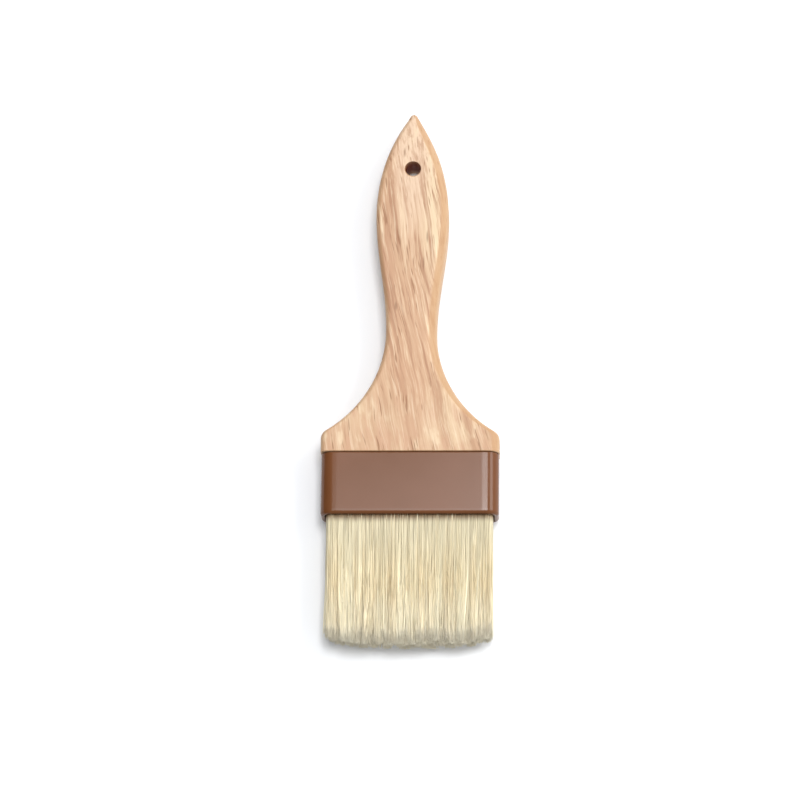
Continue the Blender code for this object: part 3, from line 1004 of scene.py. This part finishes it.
def hair_paths(rng, roots, clumps, locks):
    """Points down every hair, (hair, point, xyz), and each hair's tone."""
    count = len(roots)
    clump = nearest(roots, clumps["roots"], CLUMP_DEPTH_WEIGHT)
    lock = nearest(roots, locks["roots"], LOCK_DEPTH_WEIGHT)
    places = gathered(rng, wandering(rng, roots, clumps, clump), locks, lock)
    outer = np.abs(roots[:, 1] / PACK_HALF_DEPTH) ** 2
    short = rng.exponential(SHORT_ANYWHERE, count) + clumps["lengths"][clump] + locks["lengths"][lock]
    short = short + outer * rng.uniform(0.0, SHORT_AT_FACES, count)
    start = MOUTH + ROOT_DEPTH
    end = pack_end(places[:, -1, 0]) + np.maximum(short, -LONGEST)
    y = start + (end[:, None] - start) * np.linspace(0.0, 1.0, HAIR_POINTS)
    tone = clumps["tones"][clump] + rng.normal(0.0, TONE_SPREAD, count)
    return np.stack([places[..., 0], y, CENTRE_Z + places[..., 1]], -1), np.clip(tone, 0.0, 1.0)


def hair_mesh(rng, paths):
    """Turn the paths into closed three-sided tubes that thin towards their tips."""
    hairs, points = paths.shape[:2]
    taper = 1.0 - HAIR_TAPER * np.linspace(0.0, 1.0, points) ** 6
    taper[-1] = HAIR_TIP_SCALE
    thick = HAIR_RADIUS * rng.uniform(*HAIR_THICKNESS, (hairs, 1)) * taper
    spin = rng.uniform(0.0, math.tau, (hairs, 1, 1))
    corner = np.arange(HAIR_SIDES)
    angle = spin + corner * (math.tau / HAIR_SIDES)
    offset = np.zeros((hairs, points, HAIR_SIDES, 3))
    offset[..., 0] = np.cos(angle) * thick[..., None]
    offset[..., 2] = np.sin(angle) * thick[..., None]
    verts = (paths[:, :, None, :] + offset).reshape(-1, 3)
    first = (np.arange(hairs) * points * HAIR_SIDES)[:, None]
    ring = first[..., None] + (np.arange(points - 1) * HAIR_SIDES)[:, None]
    a = ring + corner
    b = ring + (corner + 1) % HAIR_SIDES
    quads = np.stack([a, b, b + HAIR_SIDES, a + HAIR_SIDES], -1).reshape(-1, 4)
    roots = first + corner[::-1]
    tips = first + (points - 1) * HAIR_SIDES + corner
    return verts, quads.tolist() + roots.tolist() + tips.tolist()


def bend_with_pack(piece):
    """Bake a piece's placement into its mesh; nothing here makes it bend."""
    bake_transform(piece)


def add_values(mesh, name, values):
    """Give every vertex a number that the material reads by name."""
    attribute = mesh.attributes.new(name, "FLOAT", "POINT")
    attribute.data.foreach_set("value", values.astype(np.float32))


def make_tuft(name, side, column, material, clumps, locks):
    """One tuft of bristles, rooted in the ferrule and bending out of it."""
    rng = np.random.default_rng(100 * (side + 2) + column)
    roots = hair_roots(rng, side, column, HAIRS_PER_TUFT)
    paths, tones = hair_paths(rng, roots, clumps, locks)
    verts, faces = hair_mesh(rng, paths)
    tuft = new_object(name, verts, faces, material, "bristle")
    add_values(tuft.data, "tone", np.repeat(tones, HAIR_POINTS * HAIR_SIDES))
    reach = np.tile(free_fractions(), HAIRS_PER_TUFT)
    add_values(tuft.data, "reach", np.repeat(reach, HAIR_SIDES))
    bend_with_pack(tuft)
    return tuft


def core_ring(outline, grooves, fraction):
    """The ring round the core at a fraction of its length, grooved on its two faces."""
    shrink = 1.0 - CORE_END_SHRINK * fraction ** 6
    narrow = (1.0 - CORE_NARROWING * fraction) * shrink
    y = CORE_START + (CORE_END - CORE_START) * fraction
    ring = []
    for (x, z), groove in zip(outline, grooves):
        depth = (z - CENTRE_Z) * shrink
        if abs(depth) > CORE_FACE:
            depth += math.copysign(groove, depth)
        ring.append((x * narrow, y, CENTRE_Z + depth))
    return ring


def make_core(material):
    """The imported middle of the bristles, grooved lengthwise, which closes the gaps."""
    half_x = PACK_HALF_WIDTH - CORE_INSET
    half_z = PACK_HALF_DEPTH - CORE_INSET
    radii = (CORE_CORNER, CORE_CORNER)
    outline = section(half_x, half_z, radii, CORE_CORNER_STEPS, CORE_RUN_X, CORE_RUN_Z)
    rng = np.random.default_rng(CORE_SEED)
    grooves = rng.uniform(*GROOVE_SPREAD, len(outline)) * MM
    rings = [core_ring(outline, grooves, step / CORE_STEPS) for step in range(CORE_STEPS + 1)]
    core = new_object("bristle_core", *loft(rings), material, "bristle_root")
    face_outward(core)
    bend_with_pack(core)
    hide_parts("front_bristle_roots", "back_bristle_roots")


def make_bristles():
    """Both rows of tufts and the core between them."""
    material = bristle_material()
    clumps = make_clumps(np.random.default_rng(CLUMP_SEED))
    locks = make_locks(np.random.default_rng(LOCK_SEED))
    for side, row in ((1, "front"), (-1, "back")):
        for column in range(TUFTS_PER_ROW):
            node = f"{row}_tuft_{column + 1}"
            tuft = make_tuft(f"{row}_bristles_{column + 1}", side, column, material, clumps, locks)
            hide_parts(node)
    make_core(core_material())


# ---------------------------------------------------------------- hidden pieces of the frame

def dress_hidden_nodes():
    """Give the pieces inside the ferrule their own materials."""
    for node, material in (("resin_block", resin_material()), ("spacer_strip", spacer_material())):
        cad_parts[node].material_slots[0].material = material


# ---------------------------------------------------------------- floor, light and camera

FLOOR_HALF_SIZE = 4.0
FLOOR_PAINT = (0.83, 0.84, 0.86)
WALL_TONE = (0.96, 0.98, 1.0, 1.0)

# The studio's walls: the way that they get brighter, and how bright they are at both ends.
WALL_DIRECTION = (0.96, 0.25, 0.0)
WALL_REACH = 0.9
WALL_DARK = 0.08
WALL_BRIGHT = 1.08

# Softboxes: name, place, tilt in degrees, size and watts.
SOFTBOXES = (
    ("overhead", (0.05, 0.11, 1.80), 0.0, (0.92, 0.76), 13.5),
    ("softbox", (0.25, 0.27, 1.70), 0.0, (0.40, 0.56), 8.5),
    ("key", (1.36, 0.60, 1.20), 46.0, (0.80, 0.95), 13.5),
)

# The camera: its direction from the brush, its roll, the point it looks at and its lens.
CAMERA_AZIMUTH = math.radians(8.0)
CAMERA_ELEVATION = math.radians(72.0)
CAMERA_ROLL = math.radians(0.65)
CAMERA_TARGET = Vector((-4.7 * MM, -11.4 * MM, CENTRE_Z))
FIELD_WIDTH = 337.6 * MM
LENS = 150.0
SENSOR_WIDTH = 36.0
VIEW_DEPTH = 50.0


def add_floor():
    """A wide pale floor just under the brush."""
    size = FLOOR_HALF_SIZE
    corners = [(-size, -size, 0.0), (size, -size, 0.0), (size, size, 0.0), (-size, size, 0.0)]
    floor = plain_object("floor", corners, [(0, 1, 2, 3)])
    g = Graph("pale_floor")
    g.shader.inputs["Emission Color"].default_value = (1.0, 1.0, 1.0, 1.0)
    paint = g.finish(Base_Color=FLOOR_PAINT, Roughness=0.9, Emission_Strength=0.07)
    floor.data.materials.append(paint)


def add_softbox(name, place, tilt, size, power):
    """A rectangular softbox that shines down, or leans by tilt towards -X."""
    data = bpy.data.lights.new(name, "AREA")
    data.shape = "RECTANGLE"
    data.size, data.size_y = size
    data.energy = power
    light = link(bpy.data.objects.new(name, data))
    light.location = place
    light.rotation_euler = (0.0, math.radians(tilt), 0.0)


def add_walls():
    """Even studio walls, brighter on the right and at the far side."""
    world = bpy.data.worlds.new("studio")
    world.use_nodes = True
    tree = world.node_tree
    direction = tree.nodes.new("ShaderNodeTexCoord").outputs["Generated"]
    lean = tree.nodes.new("ShaderNodeVectorMath")
    lean.operation = "DOT_PRODUCT"
    lean.inputs[1].default_value = WALL_DIRECTION
    level = tree.nodes.new("ShaderNodeMapRange")
    level.inputs["From Min"].default_value = -WALL_REACH
    level.inputs["From Max"].default_value = WALL_REACH
    level.inputs["To Min"].default_value = WALL_DARK
    level.inputs["To Max"].default_value = WALL_BRIGHT
    walls = tree.nodes["Background"]
    walls.inputs["Color"].default_value = WALL_TONE
    tree.links.new(direction, lean.inputs[0])
    tree.links.new(lean.outputs["Value"], level.inputs[0])
    tree.links.new(level.outputs[0], walls.inputs["Strength"])
    bpy.context.scene.world = world


def add_lights():
    """Two softboxes overhead, the right one stronger, a key from the right, and the walls."""
    for softbox in SOFTBOXES:
        add_softbox(*softbox)
    add_walls()
    bpy.context.scene.view_settings.view_transform = "Standard"


def add_camera():
    """A long lens that looks down on the front face, tilted towards the bristle end."""
    data = bpy.data.cameras.new("camera")
    data.lens = LENS
    data.sensor_width = SENSOR_WIDTH
    data.clip_end = VIEW_DEPTH
    camera = link(bpy.data.objects.new("camera", data))
    across = Vector((math.sin(CAMERA_AZIMUTH), -math.cos(CAMERA_AZIMUTH), 0.0))
    away = across * math.cos(CAMERA_ELEVATION) + Vector((0.0, 0.0, math.sin(CAMERA_ELEVATION)))
    along = Vector((-math.sin(CAMERA_ROLL), math.cos(CAMERA_ROLL), 0.0))
    up = (along - away * along.dot(away)).normalized()
    turn = Matrix((up.cross(away), up, away)).transposed().to_4x4()
    distance = FIELD_WIDTH * LENS / SENSOR_WIDTH
    camera.matrix_world = Matrix.Translation(CAMERA_TARGET + away * distance) @ turn
    bpy.context.scene.camera = camera


# ---------------------------------------------------------------- build

make_handle(wood_material())
make_ferrule(plastic_material())
make_bristles()
dress_hidden_nodes()
add_floor()
add_lights()
add_camera()
